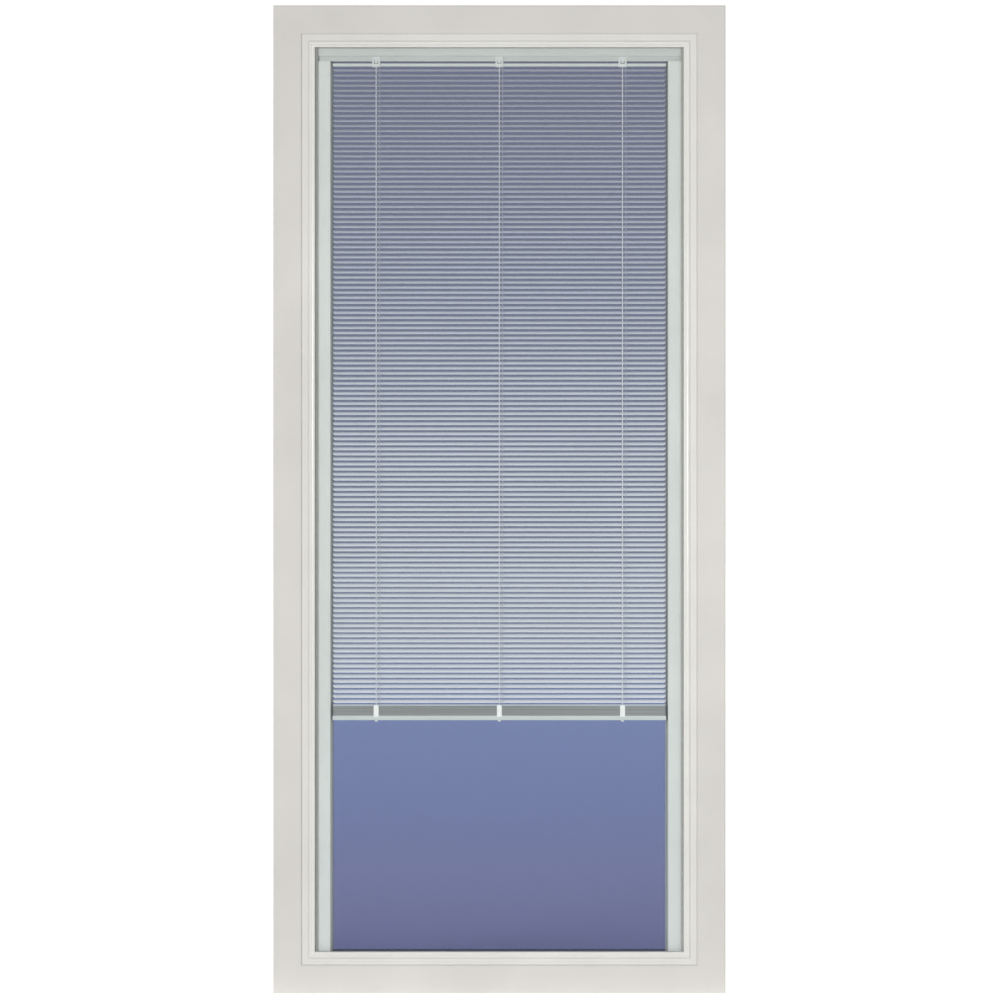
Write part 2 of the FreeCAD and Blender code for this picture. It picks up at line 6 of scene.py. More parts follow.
import bpy
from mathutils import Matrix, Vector


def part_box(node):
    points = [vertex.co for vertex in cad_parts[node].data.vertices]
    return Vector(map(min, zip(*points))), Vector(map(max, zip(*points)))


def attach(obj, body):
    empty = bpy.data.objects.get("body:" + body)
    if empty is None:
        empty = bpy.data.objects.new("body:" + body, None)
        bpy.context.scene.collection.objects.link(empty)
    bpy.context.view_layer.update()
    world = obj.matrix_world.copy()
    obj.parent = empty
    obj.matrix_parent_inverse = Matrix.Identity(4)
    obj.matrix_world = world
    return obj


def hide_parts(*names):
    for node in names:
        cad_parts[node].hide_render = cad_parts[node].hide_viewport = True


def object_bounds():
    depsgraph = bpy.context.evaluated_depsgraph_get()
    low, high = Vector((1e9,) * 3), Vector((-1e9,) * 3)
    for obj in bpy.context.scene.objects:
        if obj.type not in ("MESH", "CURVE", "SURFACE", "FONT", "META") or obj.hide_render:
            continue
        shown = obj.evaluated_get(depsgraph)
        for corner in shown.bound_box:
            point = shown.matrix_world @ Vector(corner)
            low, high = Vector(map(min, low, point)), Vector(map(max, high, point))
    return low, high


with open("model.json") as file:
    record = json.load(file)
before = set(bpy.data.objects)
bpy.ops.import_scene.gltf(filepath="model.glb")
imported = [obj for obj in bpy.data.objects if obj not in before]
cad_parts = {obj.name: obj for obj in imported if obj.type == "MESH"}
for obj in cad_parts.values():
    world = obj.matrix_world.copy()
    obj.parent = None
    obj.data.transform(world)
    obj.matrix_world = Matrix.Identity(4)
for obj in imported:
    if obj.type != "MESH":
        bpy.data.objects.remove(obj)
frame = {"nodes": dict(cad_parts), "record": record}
cad_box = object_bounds()

MM = 0.001
NODES = frame["nodes"]
LEAF_LOW = Vector(cad_box[0])
LEAF_HIGH = Vector(cad_box[1])
LEAF_MIDDLE = (LEAF_LOW + LEAF_HIGH) / 2

# Blind, as in the solids, with the finer sizes of real slats and cords
SLAT_COUNT = 126
SLAT_PITCH = 10.09 * MM
SLAT_WIDTH = 12.7 * MM
SLAT_CROWN = 1.1 * MM
SLAT_THICKNESS = 0.25 * MM
SLAT_TILT = math.radians(28)
SLAT_CORNER = 5.6 * MM
SLAT_JITTER = math.radians(0.2)
SLAT_BOW = 0.05 * MM
RESTING_TILT = math.radians(11)
GATHERED_COUNT = 46
GATHERED_CROWN = 0.5 * MM
GATHERED_JITTER = 0.1 * MM
GATHERED_ACROSS = 6
CORD_RADIUS = 0.6 * MM
LIFT_RADIUS = 0.35 * MM
RUNG_RADIUS = 0.25 * MM
RUNG_SIDES = 5
SEED = 7

# Photograph: 1000 by 1000 pixels, looking straight at the leaf
IMAGE_PIXELS = 1000
LEAF_LEFT_PIXEL = 273.0
LEAF_RIGHT_PIXEL = 725.7
LEAF_TOP_PIXEL = 4.9
LEAF_BOTTOM_PIXEL = 994.0
CAMERA_DISTANCE = 6.0
SENSOR = 36.0


# Materials

UNIT = (0.0, 1.0)
WHITE = (1.0, 1.0, 1.0)

# Detail of a noise, and the part of its range in which the tones lie
PLAIN_DETAIL = 2.0
USUAL_DETAIL = 3.0
RICH_DETAIL = 4.0
NOISE_LOW = 0.3
NOISE_HIGH = 0.7


class Tree:
    """Short helpers for the nodes of a material or a world."""

    def __init__(self, tree, coordinate):
        self.nodes = tree.nodes
        self.links = tree.links
        self.place = self.nodes.new("ShaderNodeTexCoord").outputs[coordinate]

    def noise(self, scale, detail=USUAL_DETAIL, stretch=None):
        node = self.nodes.new("ShaderNodeTexNoise")
        node.inputs["Scale"].default_value = scale
        node.inputs["Detail"].default_value = detail
        if stretch is None:
            self.links.new(self.place, node.inputs["Vector"])
        else:
            mapping = self.nodes.new("ShaderNodeMapping")
            mapping.inputs["Scale"].default_value = stretch
            self.links.new(self.place, mapping.inputs["Vector"])
            self.links.new(mapping.outputs["Vector"], node.inputs["Vector"])
        return node.outputs["Fac"]

    def axis(self, name):
        split = self.nodes.new("ShaderNodeSeparateXYZ")
        self.links.new(self.place, split.inputs["Vector"])
        return split.outputs[name]

    def calculate(self, operation, first, second):
        """A Math node on two values, each a socket or a number."""
        node = self.nodes.new("ShaderNodeMath")
        node.operation = operation
        for value, socket in zip((first, second), node.inputs):
            if isinstance(value, bpy.types.NodeSocket):
                self.links.new(value, socket)
            else:
                socket.default_value = value
        return node.outputs["Value"]

    def remap(self, value, source=UNIT, target=UNIT, smooth=False):
        """A value carried from one range to another and kept inside it."""
        node = self.nodes.new("ShaderNodeMapRange")
        if smooth:
            node.interpolation_type = "SMOOTHSTEP"
        node.inputs["From Min"].default_value = source[0]
        node.inputs["From Max"].default_value = source[1]
        node.inputs["To Min"].default_value = target[0]
        node.inputs["To Max"].default_value = target[1]
        self.links.new(value, node.inputs["Value"])
        return node.outputs["Result"]


class Paint(Tree):
    """A node material with one Principled shader."""

    def __init__(self, name):
        self.material = bpy.data.materials.new(name)
        self.material.use_nodes = True
        super().__init__(self.material.node_tree, "Object")
        self.shader = self.nodes["Principled BSDF"]
        self.output = self.nodes["Material Output"]

    def set(self, **values):
        for name, value in values.items():
            self.shader.inputs[name.replace("_", " ")].default_value = value

    def link(self, socket, name):
        self.links.new(socket, self.shader.inputs[name])

    def margin(self):
        """How far a point lies in from the nearest edge of the leaf, seen from the front."""
        left = self.axis("X")
        low = self.axis("Z")
        right = self.calculate("SUBTRACT", LEAF_HIGH.x, left)
        high = self.calculate("SUBTRACT", LEAF_HIGH.z, low)
        beside = self.calculate("MINIMUM", left, right)
        above = self.calculate("MINIMUM", low, high)
        return self.calculate("MINIMUM", beside, above)

    def multiply(self, first, second):
        node = self.nodes.new("ShaderNodeVectorMath")
        node.operation = "MULTIPLY"
        self.links.new(first, node.inputs[0])
        self.links.new(second, node.inputs[1])
        return node.outputs["Vector"]

    def ramp(self, factor, stops, stepped=False):
        """Colours by factor, from stops of position and colour in rising order."""
        node = self.nodes.new("ShaderNodeValToRGB")
        ramp = node.color_ramp
        if stepped:
            ramp.interpolation = "CONSTANT"
        ramp.elements[0].position = stops[0][0]
        ramp.elements[1].position = stops[-1][0]
        for position, _ in stops[1:-1]:
            ramp.elements.new(position)
        for element, (_, colour) in zip(ramp.elements, stops):
            element.color = (*colour, 1)
        self.links.new(factor, node.inputs["Fac"])
        return node.outputs["Color"]

    def mottle(self, noise, dark, light):
        return self.ramp(noise, [(NOISE_LOW, dark), (NOISE_HIGH, light)])

    def bump(self, height, distance):
        node = self.nodes.new("ShaderNodeBump")
        node.inputs["Distance"].default_value = distance
        self.links.new(height, node.inputs["Height"])
        self.link(node.outputs["Normal"], "Normal")


def shade(colour, factor):
    return tuple(channel * factor for channel in colour)


CLOUD_SCALE = 6.0
GLOSS_SCALE = 40.0
GLOSS_SPREAD = 0.05
PEEL_SCALE = 900.0
THIN_PEEL = 0.01 * MM

# A tone by place, here painted shade: along an axis or in from the leaf's edge, between two distances in
# metres
Zones = namedtuple("Zones", "axis low high stops stepped")


def coated(name, colour, roughness, peel=0.03 * MM, spread=0.04, cloud_stretch=None, zones=None):
    """Sprayed paint on aluminium: faint cloudy tone, orange peel and uneven gloss.

    The tone of zones, where given, multiplies the cloudy colour: painted shade in this script.
    """
    paint = Paint(name)
    cloud = paint.noise(CLOUD_SCALE, RICH_DETAIL, cloud_stretch)
    tone = paint.mottle(cloud, shade(colour, 1 - spread), shade(colour, 1 + spread))
    if zones:
        place = paint.margin() if zones.axis == "margin" else paint.axis(zones.axis)
        share = paint.remap(place, source=(zones.low, zones.high))
        tone = paint.multiply(tone, paint.ramp(share, zones.stops, zones.stepped))
    paint.link(tone, "Base Color")
    uneven = paint.noise(GLOSS_SCALE, PLAIN_DETAIL)
    gloss = paint.remap(uneven, target=(roughness - GLOSS_SPREAD, roughness + GLOSS_SPREAD))
    paint.link(gloss, "Roughness")
    paint.bump(paint.noise(PEEL_SCALE, PLAIN_DETAIL), peel)
    return paint.material


RUBBER_SCALE = 120.0
RUBBER_DARK = 0.92
RUBBER_LIGHT = 1.06
RUBBER_GLOSS_SCALE = 400.0
RUBBER_ROUGHNESS = (0.55, 0.75)
RUBBER_GRAIN_SCALE = 1500.0
RUBBER_GRAIN = 0.05 * MM


def rubber(name, colour):
    """Extruded rubber: dull, slightly mottled and finely grained."""
    paint = Paint(name)
    blotch = paint.noise(RUBBER_SCALE, RICH_DETAIL)
    paint.link(paint.mottle(blotch, shade(colour, RUBBER_DARK), shade(colour, RUBBER_LIGHT)), "Base Color")
    paint.link(paint.remap(paint.noise(RUBBER_GLOSS_SCALE), target=RUBBER_ROUGHNESS), "Roughness")
    paint.bump(paint.noise(RUBBER_GRAIN_SCALE, PLAIN_DETAIL), RUBBER_GRAIN)
    return paint.material


STEEL_SCALE = 60.0
STEEL_STRETCH = (40, 40, 1)
STEEL_DARK = (0.42, 0.42, 0.43)
STEEL_LIGHT = (0.62, 0.62, 0.63)
STEEL_ROUGHNESS = (0.25, 0.42)
STEEL_LINES = 0.02 * MM


def steel(name):
    """Drawn steel, with fine lines along Z."""
    paint = Paint(name)
    drawn = paint.noise(STEEL_SCALE, RICH_DETAIL, STEEL_STRETCH)
    paint.link(paint.mottle(drawn, STEEL_DARK, STEEL_LIGHT), "Base Color")
    paint.link(paint.remap(drawn, target=STEEL_ROUGHNESS), "Roughness")
    paint.bump(drawn, STEEL_LINES)
    paint.set(Metallic=1.0)
    return paint.material


PLASTIC_SCALE = 80.0
PLASTIC_DARK = 0.95
PLASTIC_LIGHT = 1.03
PLASTIC_GLOSS_SCALE = 300.0
PLASTIC_GLOSSIER = 0.05
PLASTIC_DULLER = 0.08
PLASTIC_GRAIN_SCALE = 700.0
PLASTIC_GRAIN = 0.02 * MM


def moulded(name, colour, roughness):
    """Moulded plastic, nearly even in tone, with a faint grain."""
    paint = Paint(name)
    blotch = paint.noise(PLASTIC_SCALE)
    paint.link(paint.mottle(blotch, shade(colour, PLASTIC_DARK), shade(colour, PLASTIC_LIGHT)), "Base Color")
    limits = (roughness - PLASTIC_GLOSSIER, roughness + PLASTIC_DULLER)
    paint.link(paint.remap(paint.noise(PLASTIC_GLOSS_SCALE), target=limits), "Roughness")
    paint.bump(paint.noise(PLASTIC_GRAIN_SCALE, PLAIN_DETAIL), PLASTIC_GRAIN)
    return paint.material


YARN_SCALE = 350.0
YARN_DISTORTION = 1.5
YARN_LOW = 0.1
YARN_HIGH = 0.8
YARN_SHADE = 0.75
YARN_ROUGHNESS = (0.9, 0.7)
YARN_RELIEF = 0.1 * MM


def braided(name, colour):
    """Cord of twisted yarns, with the lay as a fine spiral along Z."""
    paint = Paint(name)
    wave = paint.nodes.new("ShaderNodeTexWave")
    wave.bands_direction = "DIAGONAL"
    wave.inputs["Scale"].default_value = YARN_SCALE
    wave.inputs["Distortion"].default_value = YARN_DISTORTION
    paint.links.new(paint.place, wave.inputs["Vector"])
    yarn = wave.outputs["Fac"]
    paint.link(paint.ramp(yarn, [(YARN_LOW, shade(colour, YARN_SHADE)), (YARN_HIGH, colour)]), "Base Color")
    paint.link(paint.remap(yarn, target=YARN_ROUGHNESS), "Roughness")
    paint.bump(yarn, YARN_RELIEF)
    return paint.material


GLASS_MIRROR = 0.012  # share mirrored straight on, from glass coated against reflections
GRAZING_POWER = 5
EVEN_BLEND = 0.5
PANE_LOW, PANE_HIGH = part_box("rear_pane")


def clear_glass(name, stops):
    """Flat glass: tinted, with the tint changed by height as painted shade, mirror-like at a glance."""
    paint = Paint(name)
    paint.nodes.remove(paint.shader)
    height = paint.remap(paint.axis("Z"), source=(PANE_LOW.z, PANE_HIGH.z))
    tint = paint.nodes.new("ShaderNodeBsdfTransparent")
    paint.links.new(paint.ramp(height, stops), tint.inputs["Color"])
    mirror = paint.nodes.new("ShaderNodeBsdfGlossy")
    mirror.inputs["Color"].default_value = (*WHITE, 1)
    mirror.inputs["Roughness"].default_value = 0.0
    slant = paint.nodes.new("ShaderNodeLayerWeight")
    slant.inputs["Blend"].default_value = EVEN_BLEND
    grazing = paint.calculate("POWER", slant.outputs["Facing"], GRAZING_POWER)
    mix = paint.nodes.new("ShaderNodeMixShader")
    paint.links.new(paint.remap(grazing, target=(GLASS_MIRROR, 1.0)), mix.inputs["Fac"])
    paint.links.new(tint.outputs["BSDF"], mix.inputs[1])
    paint.links.new(mirror.outputs["BSDF"], mix.inputs[2])
    paint.links.new(mix.outputs["Shader"], paint.output.inputs["Surface"])
    return paint.material


# The channel's lip lies in shade behind the blind's ends
CHANNEL_LIP = 4.7 * MM
LIP_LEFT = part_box("left_channel")[1].x - CHANNEL_LIP
LIP_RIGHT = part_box("right_channel")[0].x + CHANNEL_LIP
LIP_SHADE = (0.46, 0.48, 0.50)
LIP_ZONES = Zones(
    axis="X",
    low=0.0,
    high=LIP_RIGHT,
    stops=[(0.0, WHITE), (LIP_LEFT / LIP_RIGHT, LIP_SHADE), (1.0, WHITE)],
    stepped=True,
)

# Painted shade: the bead's paint is darker in its two grooves
BEAD_START = 56 * MM
BEAD_END = 83.5 * MM
BEAD_WIDTH = BEAD_END - BEAD_START
GROOVE_WIDTH = 3 * MM
STEP_INSET = 13 * MM
GROOVE_SHARE = GROOVE_WIDTH / BEAD_WIDTH
STEP_SHARE = STEP_INSET / BEAD_WIDTH
GROOVE_SHADE = (0.9, 0.895, 0.885)
GROOVE_SHADE_ZONES = Zones(
    axis="margin",
    low=BEAD_START,
    high=BEAD_END,
    stops=[(0.0, GROOVE_SHADE), (GROOVE_SHARE, WHITE), (STEP_SHARE, GROOVE_SHADE), (STEP_SHARE + GROOVE_SHARE, WHITE)],
    stepped=True,
)

# Painted shade: the slats darken towards the blind's top, as the upper ones catch less light
SLATS_LOW, SLATS_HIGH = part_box("blind_slats")
SLAT_SHADE_ZONES = Zones(
    axis="Z",
    low=SLATS_LOW.z,
    high=SLATS_HIGH.z,
    stops=[
        (0.0, (0.79, 0.815, 0.84)),
        (0.4, (0.75, 0.78, 0.83)),
        (0.7, (0.61, 0.64, 0.72)),
        (1.0, (0.47, 0.49, 0.57)),
    ],
    stepped=False,
)

FRAME_PAINT = coated("frame_paint", (0.595, 0.578, 0.546), roughness=0.42)
BEAD_PAINT = coated("bead_paint", (0.63, 0.624, 0.595), roughness=0.22, zones=GROOVE_SHADE_ZONES)
HINGE_PAINT = coated("hinge_paint", (0.58, 0.565, 0.53), roughness=0.4)
CASSETTE_PAINT = coated("cassette_paint", (0.52, 0.545, 0.53), roughness=0.35)
CHANNEL_PAINT = coated("channel_paint", (0.61, 0.635, 0.61), roughness=0.3, zones=LIP_ZONES)
SLAT_PAINT = coated("slat_paint", WHITE, roughness=0.38, peel=THIN_PEEL, spread=0.02, zones=SLAT_SHADE_ZONES)
BLIND_RAIL_PAINT = coated("blind_rail_paint", (0.55, 0.585, 0.575), roughness=0.35)
GASKET_RUBBER = rubber("gasket_rubber", (0.33, 0.335, 0.315))
PIN_STEEL = steel("pin_steel")
CLIP_PLASTIC = moulded("clip_plastic", (0.80, 0.82, 0.80), roughness=0.3)
HEAD_CLIP_PLASTIC = moulded("head_clip_plastic", (0.62, 0.65, 0.64), roughness=0.25)
# Painted shade, and partly the duller slat edges: the gathered slats take a far darker paint than the open
# ones, in bands by height for the shade between them
GATHERED_SHADE_AND_EDGE_PAINT = coated(
    "gathered_slats_shade_and_dull_edges",
    (0.375, 0.39, 0.39),
    roughness=0.5,
    peel=THIN_PEEL,
    spread=0.22,
    cloud_stretch=(0.3, 0.3, 55),
)
CORD_WHITE = braided("cord_white", (0.86, 0.87, 0.88))
LIFT_CORD = braided("lift_cord", (0.5, 0.52, 0.57))
FRONT_GLASS = clear_glass("front_glass", [(0.0, (0.982, 0.99, 0.992)), (1.0, (0.986, 0.993, 0.99))])
# The rear pane's blue tint is its own; the change of tint with height, darkest at the foot, is painted shade
# for the light seen through it
REAR_GLASS = clear_glass(
    "rear_glass",
    [
        (0.0, (0.29, 0.31, 0.44)),
        (0.034, (0.338, 0.349, 0.493)),
        (0.1, (0.363, 0.383, 0.529)),
        (0.175, (0.367, 0.406, 0.562)),
        (0.26, (0.384, 0.427, 0.583)),
        (0.36, (0.413, 0.448, 0.525)),
        (1.0, (0.38, 0.40, 0.483)),
    ],
)

FINISHES = {
    "frame_paint": FRAME_PAINT,
    "bead_paint": BEAD_PAINT,
    "hinge_paint": HINGE_PAINT,
    "cassette_paint": CASSETTE_PAINT,
    "slat_paint": SLAT_PAINT,
    "blind_rail_paint": BLIND_RAIL_PAINT,
    "gasket_rubber": GASKET_RUBBER,
    "pin_steel": PIN_STEEL,
    "clip_plastic": CLIP_PLASTIC,
    "cord_white": CORD_WHITE,
    "front_glass": FRONT_GLASS,
    "rear_glass": REAR_GLASS,
}


def dress(node, material):
    thing = NODES[node]
    thing.data.materials.clear()
    thing.data.materials.append(material)


for row in frame["record"]["subparts"]:
    dress(row["node"], FINISHES[row["material_slot"]])
dress("head_clips", HEAD_CLIP_PLASTIC)
dress("left_channel", CHANNEL_PAINT)
dress("right_channel", CHANNEL_PAINT)


# Mesh helpers

SHARP_ANGLE = math.radians(35)
NEARLY_ALONG = 0.9


def add_mesh(name, points, faces, material, slot):
    mesh = bpy.data.meshes.new(name)
    mesh.from_pydata([tuple(point) for point in points], [], [tuple(face) for face in faces])
    mesh.validate()
    mesh.shade_smooth()
    mesh.set_sharp_from_angle(angle=SHARP_ANGLE)
    mesh.materials.append(material)
    piece = bpy.data.objects.new(name, mesh)
    bpy.context.scene.collection.objects.link(piece)
    return piece


def join(parts):
    """Points and faces of many pieces as one list each."""
    points = []
    faces = []
    for part_points, part_faces in parts:
        base = len(points)
        points.extend(part_points)
        faces.extend([tuple(base + corner for corner in face) for face in part_faces])
    return points, faces


def slat_grid(length, width, crown, thickness, corner, across=8, round_steps=4):
    """One slat lying flat about the origin: X along, Y across, Z up, with rounded corners."""
    turns = [math.pi / 2 * step / round_steps for step in range(round_steps + 1)]
    left = [(-length / 2 + corner * (1 - math.cos(turn)), corner * (1 - math.sin(turn))) for turn in turns]
    stations = left + [(-x, narrow) for x, narrow in reversed(left)]
    upper = []
    lower = []
    for x, narrow in stations:
        half = width / 2 - narrow
        for step in range(across + 1):
            y = half * (2 * step / across - 1)
            z = crown * (1 - (2 * y / width) ** 2) - crown / 2
            upper.append((x, y, z + thickness / 2))
            lower.append((x, y, z - thickness / 2))
    row = across + 1
    last_row = len(stations) - 1
    under = len(upper)

    def edge(first, second, flip):
        face = (first, under + first, under + second, second)
        return face[::-1] if flip else face

    faces = []
    for i in range(last_row):
        for j in range(across):
            near = i * row + j
            far = near + row
            faces.append((near, far, far + 1, near + 1))
            faces.append((under + near + 1, under + far + 1, under + far, under + near))
        for j, flip in ((0, False), (across, True)):
            faces.append(edge(i * row + j, (i + 1) * row + j, flip))
    for i, flip in ((0, True), (last_row, False)):
        for j in range(across):
            faces.append(edge(i * row + j, i * row + j + 1, flip))
    return upper + lower, faces


def placed(grid, middle, tilt, bow=0.0):
    """A slat turned about its length and moved, with a slight sag towards its ends."""
    points, faces = grid
    reach = max(abs(x) for x, y, z in points)
    cos = math.cos(tilt)
    sin = math.sin(tilt)
    moved = []
    for x, y, z in points:
        sag = bow * (x / reach) ** 2
        moved.append((middle.x + x, middle.y + y * cos - z * sin, middle.z + y * sin + z * cos - sag))
    return moved, faces


def tube(start, end, radius, sides=8):
    """A straight round rod between two points, closed at both ends."""
    start = Vector(start)
    end = Vector(end)
    along = (end - start).normalized()
    helper = Vector((1, 0, 0)) if abs(along.x) < NEARLY_ALONG else Vector((0, 1, 0))
    first = along.cross(helper).normalized()
    second = along.cross(first)
    ring = []
    for step in range(sides):
        turn = 2 * math.pi * step / sides
        ring.append(first * math.cos(turn) * radius + second * math.sin(turn) * radius)
    points = [tuple(start + spoke) for spoke in ring] + [tuple(end + spoke) for spoke in ring]
    faces = [(i, (i + 1) % sides, sides + (i + 1) % sides, sides + i) for i in range(sides)]
    faces.append(tuple(reversed(range(sides))))
    faces.append(tuple(range(sides, 2 * sides)))
    return points, faces


# Blind

draw = random.Random(SEED)
STACK_LOW, STACK_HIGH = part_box("slat_stack")
LADDER_LOW, LADDER_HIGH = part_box("ladder_cords")
SLAT_LENGTH = SLATS_HIGH.x - SLATS_LOW.x
SLATS_MIDDLE = (SLATS_LOW + SLATS_HIGH) / 2
FIRST_SLAT_Z = SLATS_MIDDLE.z + SLAT_PITCH * (SLAT_COUNT - 1) / 2


def make_slats():
    """The open slats, and one that rests askew on the stack."""
    grid = slat_grid(SLAT_LENGTH, SLAT_WIDTH, SLAT_CROWN, SLAT_THICKNESS, SLAT_CORNER)
    parts = []
    for number in range(SLAT_COUNT):
        tilt = SLAT_TILT + draw.uniform(-SLAT_JITTER, SLAT_JITTER)
        middle = Vector((SLATS_MIDDLE.x, 0, FIRST_SLAT_Z - SLAT_PITCH * number))
        parts.append(placed(grid, middle, tilt, draw.uniform(-SLAT_BOW, SLAT_BOW)))
    slats = add_mesh("open_slats", *join(parts), SLAT_PAINT, "slat_paint")
    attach(slats, "leaf")
    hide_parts("blind_slats")
    rise = SLAT_WIDTH / 2 * math.sin(RESTING_TILT) + SLAT_THICKNESS
    middle = Vector((SLATS_MIDDLE.x, 0, STACK_HIGH.z + rise))
    resting = add_mesh("resting_slat", *placed(grid, middle, RESTING_TILT), SLAT_PAINT, "slat_paint")
    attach(resting, "leaf")


def make_gathered_slats():
    grid = slat_grid(SLAT_LENGTH, SLAT_WIDTH, GATHERED_CROWN, SLAT_THICKNESS, SLAT_CORNER, GATHERED_ACROSS)
    height = STACK_HIGH.z - STACK_LOW.z
    pitch = (height - GATHERED_CROWN - SLAT_THICKNESS) / (GATHERED_COUNT - 1)
    lowest = STACK_LOW.z + (GATHERED_CROWN + SLAT_THICKNESS) / 2
    parts = []
    for number in range(GATHERED_COUNT):
        shift = draw.uniform(-GATHERED_JITTER, GATHERED_JITTER)
        middle = Vector((SLATS_MIDDLE.x, shift, lowest + pitch * number))
        parts.append(placed(grid, middle, 0.0))
    stack = add_mesh("gathered_slats", *join(parts), GATHERED_SHADE_AND_EDGE_PAINT, "slat_paint")
    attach(stack, "leaf")
    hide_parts("slat_stack")


def make_ladders():
    """Front and back strings at each ladder, a rung under each slat, and the lift cord beside them."""
    lift_low, lift_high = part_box("lift_cords")
    reach = LADDER_HIGH.y - CORD_RADIUS
    rise = reach * math.tan(SLAT_TILT)
    first = LADDER_LOW.x + CORD_RADIUS
    last = LADDER_HIGH.x - CORD_RADIUS
    strings = []
    rungs = []
    lifts = []
    for x in (first, (first + last) / 2, last):
        for y in (-reach, reach):
            strings.append(tube((x, y, LADDER_LOW.z), (x, y, LADDER_HIGH.z), CORD_RADIUS))
        lift_x = x + (lift_low.x + LIFT_RADIUS - first)
        lifts.append(tube((lift_x, -reach, lift_low.z), (lift_x, -reach, lift_high.z), LIFT_RADIUS))
        for number in range(SLAT_COUNT):
            z = FIRST_SLAT_Z - SLAT_PITCH * number - SLAT_CROWN
            rungs.append(tube((x, -reach, z - rise), (x, reach, z + rise), RUNG_RADIUS, RUNG_SIDES))
    ladder = add_mesh("ladder_strings", *join(strings + rungs), CORD_WHITE, "cord_white")
    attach(ladder, "leaf")
    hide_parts("ladder_cords")
    lift = add_mesh("lift_strings", *join(lifts), LIFT_CORD, "cord_white")
    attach(lift, "leaf")
    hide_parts("lift_cords")


make_slats()
make_gathered_slats()
make_ladders()


# Pan-head screws that hold the rail to the jamb

SCREW_COUNT = 6
SCREW_END = 85 * MM
SCREW_SETBACK = 6 * MM
SCREW_SIDES = 24
SHANK_RADIUS = 2.2 * MM
HEAD_RADIUS = 4 * MM
HEAD_HEIGHT = 1.9 * MM
RIM_HEIGHT = HEAD_HEIGHT * 0.45
SHOULDER_HEIGHT = HEAD_HEIGHT * 0.85
SHOULDER_RADIUS = HEAD_RADIUS * 0.8
DRIVE_RADIUS = 1.9 * MM
DRIVE_FOOT_RADIUS = DRIVE_RADIUS * 0.9
DRIVE_DEPTH = 1.1 * MM
DRIVE_LOBES = 6
DRIVE_RINGS = 2
LOBE_DEPTH = 0.16


def screw(middle):
    """A screw along X: shank in the rail, domed head on its inner face, six-lobed recess."""
    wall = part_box("jamb_hinge_leaf")[0].x
    profile = [
        (0.0, SHANK_RADIUS),
        (wall, SHANK_RADIUS),
        (wall, HEAD_RADIUS),
        (wall + RIM_HEIGHT, HEAD_RADIUS),
        (wall + SHOULDER_HEIGHT, SHOULDER_RADIUS),
        (wall + HEAD_HEIGHT, DRIVE_RADIUS),
        (wall + HEAD_HEIGHT - DRIVE_DEPTH, DRIVE_FOOT_RADIUS),
    ]
    points = []
    faces = []
    for number, (x, radius) in enumerate(profile):
        in_drive = number >= len(profile) - DRIVE_RINGS
        for step in range(SCREW_SIDES):
            turn = 2 * math.pi * step / SCREW_SIDES
            lobe = 1 - LOBE_DEPTH * (1 - math.cos(DRIVE_LOBES * turn)) if in_drive else 1
            spoke = radius * lobe
            points.append((x, middle.y + spoke * math.cos(turn), middle.z + spoke * math.sin(turn)))
    for ring in range(len(profile) - 1):
        low = ring * SCREW_SIDES
        high = low + SCREW_SIDES
        for step in range(SCREW_SIDES):
            following = (step + 1) % SCREW_SIDES
            faces.append((low + step, low + following, high + following, high + step))
    last = (len(profile) - 1) * SCREW_SIDES
    faces.append(tuple(reversed(range(SCREW_SIDES))))
    faces.append(tuple(range(last, last + SCREW_SIDES)))
    return points, faces


def make_rail_screws():
    low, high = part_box("hinge_rail")
    pitch = (high.z - low.z - SCREW_END * 2) / (SCREW_COUNT - 1)
    parts = []
    for number in range(SCREW_COUNT):
        parts.append(screw(Vector((0, low.y + SCREW_SETBACK, low.z + SCREW_END + pitch * number))))
    screws = add_mesh("rail_screws", *join(parts), PIN_STEEL, "pin_steel")
    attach(screws, "jamb_side")


make_rail_screws()


# Stage, light and camera

FLOOR_DROP = 8 * MM
FLOOR_REACH = 40.0
FLOOR_SCALE = 0.8
FLOOR_DARK = (0.93, 0.93, 0.93)
FLOOR_LIGHT = (0.96, 0.96, 0.96)
FLOOR_ROUGHNESS = 0.9
FLOOR_GLOW = 0.55
GLOW_START = -1.4
GLOW_FULL = -0.04
GLOW_POWER = 12
SKY_BEHIND = 1.08
SKY_IN_FRONT = 0.41
SKY_TURN = (-0.6, 0.6)
SKY_OVERHEAD = 0.8
OVERHEAD_TURN = (0.25, 0.85)
SIDE_LIGHT_FROM = Vector((-0.46, -0.88, 0.12))
SIDE_LIGHT_POWER = 1.36
SIDE_LIGHT_SPREAD = math.radians(7)

# Softboxes aimed at the leaf's middle, with places from there
Softbox = namedtuple("Softbox", "name place width height power")
FILLS = (
    Softbox("left_fill", place=(-1.2, -1.6, 0.1), width=0.8, height=1.0, power=5.2),
    Softbox("right_fill", place=(1.2, -1.6, 0.15), width=0.8, height=1.0, power=7.6),
)
STRIPS = (
    Softbox("left_strip", place=(-4.24, -6.0, 0.5), width=0.12, height=0.6, power=42),
    Softbox("right_strip", place=(-2.5, -6.0, 0.18), width=0.12, height=0.5, power=34),
)


def make_stage():
    """A pale floor that glows from the leaf's foot backwards, so that it stays white there."""
    ends = (-FLOOR_REACH, FLOOR_REACH)
    points = [(x, y, LEAF_LOW.z - FLOOR_DROP) for x in ends for y in ends]
    paint = Paint("floor")
    paint.link(paint.mottle(paint.noise(FLOOR_SCALE, PLAIN_DETAIL), FLOOR_DARK, FLOOR_LIGHT), "Base Color")
    paint.set(Roughness=FLOOR_ROUGHNESS, Emission_Color=(*WHITE, 1))
    nearness = paint.remap(paint.axis("Y"), source=(GLOW_START, GLOW_FULL))
    glow = paint.calculate("POWER", nearness, GLOW_POWER)
    paint.link(paint.remap(glow, target=(0.0, FLOOR_GLOW)), "Emission Strength")
    mesh = bpy.data.meshes.new("floor")
    mesh.from_pydata(points, [], [(0, 2, 3, 1)])
    mesh.materials.append(paint.material)
    floor = bpy.data.objects.new("floor", mesh)
    bpy.context.scene.collection.objects.link(floor)


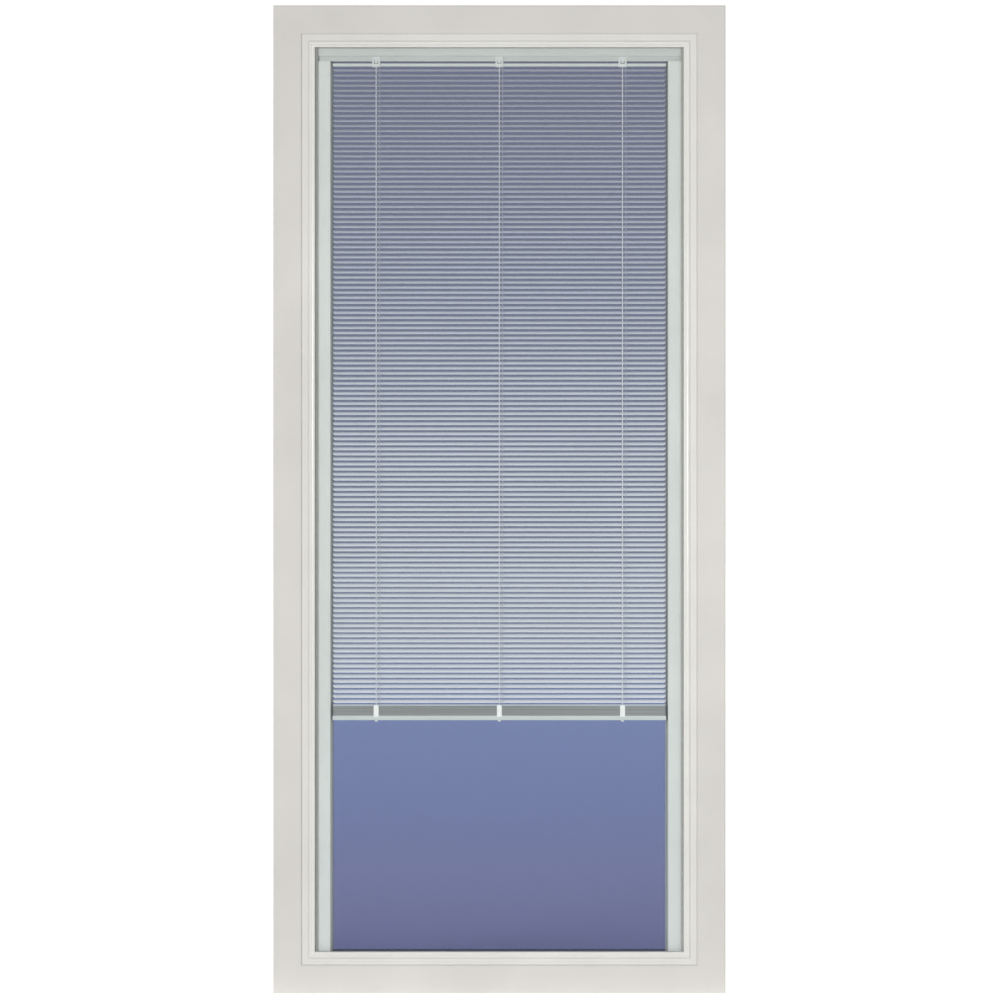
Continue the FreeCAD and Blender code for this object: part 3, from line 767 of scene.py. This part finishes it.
def add_softbox(box):
    light = bpy.data.lights.new(box.name, "AREA")
    light.shape = "RECTANGLE"
    light.size = box.width
    light.size_y = box.height
    light.energy = box.power
    lamp = bpy.data.objects.new(box.name, light)
    lamp.location = LEAF_MIDDLE + Vector(box.place)
    lamp.rotation_euler = (-Vector(box.place)).to_track_quat("-Z", "Y").to_euler()
    lamp.visible_camera = False
    bpy.context.scene.collection.objects.link(lamp)
    return lamp


def add_side_light():
    light = bpy.data.lights.new("side_light", "SUN")
    light.energy = SIDE_LIGHT_POWER
    light.angle = SIDE_LIGHT_SPREAD
    lamp = bpy.data.objects.new("side_light", light)
    lamp.rotation_euler = SIDE_LIGHT_FROM.to_track_quat("Z", "Y").to_euler()
    lamp.visible_glossy = False
    bpy.context.scene.collection.objects.link(lamp)


def make_sky():
    """White all round, dimmer in front of the leaf and overhead."""
    world = bpy.data.worlds.new("studio")
    bpy.context.scene.world = world
    world.use_nodes = True
    sky = Tree(world.node_tree, "Generated")
    level = sky.remap(sky.axis("Y"), SKY_TURN, (SKY_IN_FRONT, SKY_BEHIND), smooth=True)
    overhead = sky.remap(sky.axis("Z"), OVERHEAD_TURN, (1.0, SKY_OVERHEAD), smooth=True)
    background = sky.nodes["Background"]
    background.inputs["Color"].default_value = (*WHITE, 1)
    sky.links.new(sky.calculate("MULTIPLY", level, overhead), background.inputs["Strength"])


def make_light():
    """Soft light from the left, fills that show in no gloss, and strips that only gleam on the beads."""
    make_sky()
    add_side_light()
    for box in FILLS:
        add_softbox(box).visible_glossy = False
    beads = bpy.data.collections.new("lit_beads")
    for side in ("left", "right", "top", "bottom"):
        beads.objects.link(NODES["front_bead_" + side])
    for box in STRIPS:
        strip = add_softbox(box)
        strip.visible_diffuse = False
        strip.light_linking.receiver_collection = beads


def make_camera():
    """Straight on at the photograph's distance, with the leaf on the photograph's pixels."""
    metres = (LEAF_HIGH.x - LEAF_LOW.x) / (LEAF_RIGHT_PIXEL - LEAF_LEFT_PIXEL)
    camera = bpy.data.cameras.new("camera")
    camera.sensor_width = SENSOR
    camera.lens = SENSOR * CAMERA_DISTANCE / (metres * IMAGE_PIXELS)
    right = (IMAGE_PIXELS / 2 - (LEAF_LEFT_PIXEL + LEAF_RIGHT_PIXEL) / 2) * metres
    up = ((LEAF_TOP_PIXEL + LEAF_BOTTOM_PIXEL) / 2 - IMAGE_PIXELS / 2) * metres
    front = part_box("latch_stile")[0].y
    eye = bpy.data.objects.new("camera", camera)
    eye.location = (LEAF_MIDDLE.x + right, front - CAMERA_DISTANCE, LEAF_MIDDLE.z + up)
    eye.rotation_euler = (math.pi / 2, 0, 0)
    bpy.context.scene.collection.objects.link(eye)
    bpy.context.scene.camera = eye


make_stage()
make_light()
make_camera()
bpy.context.scene.view_settings.view_transform = "Standard"
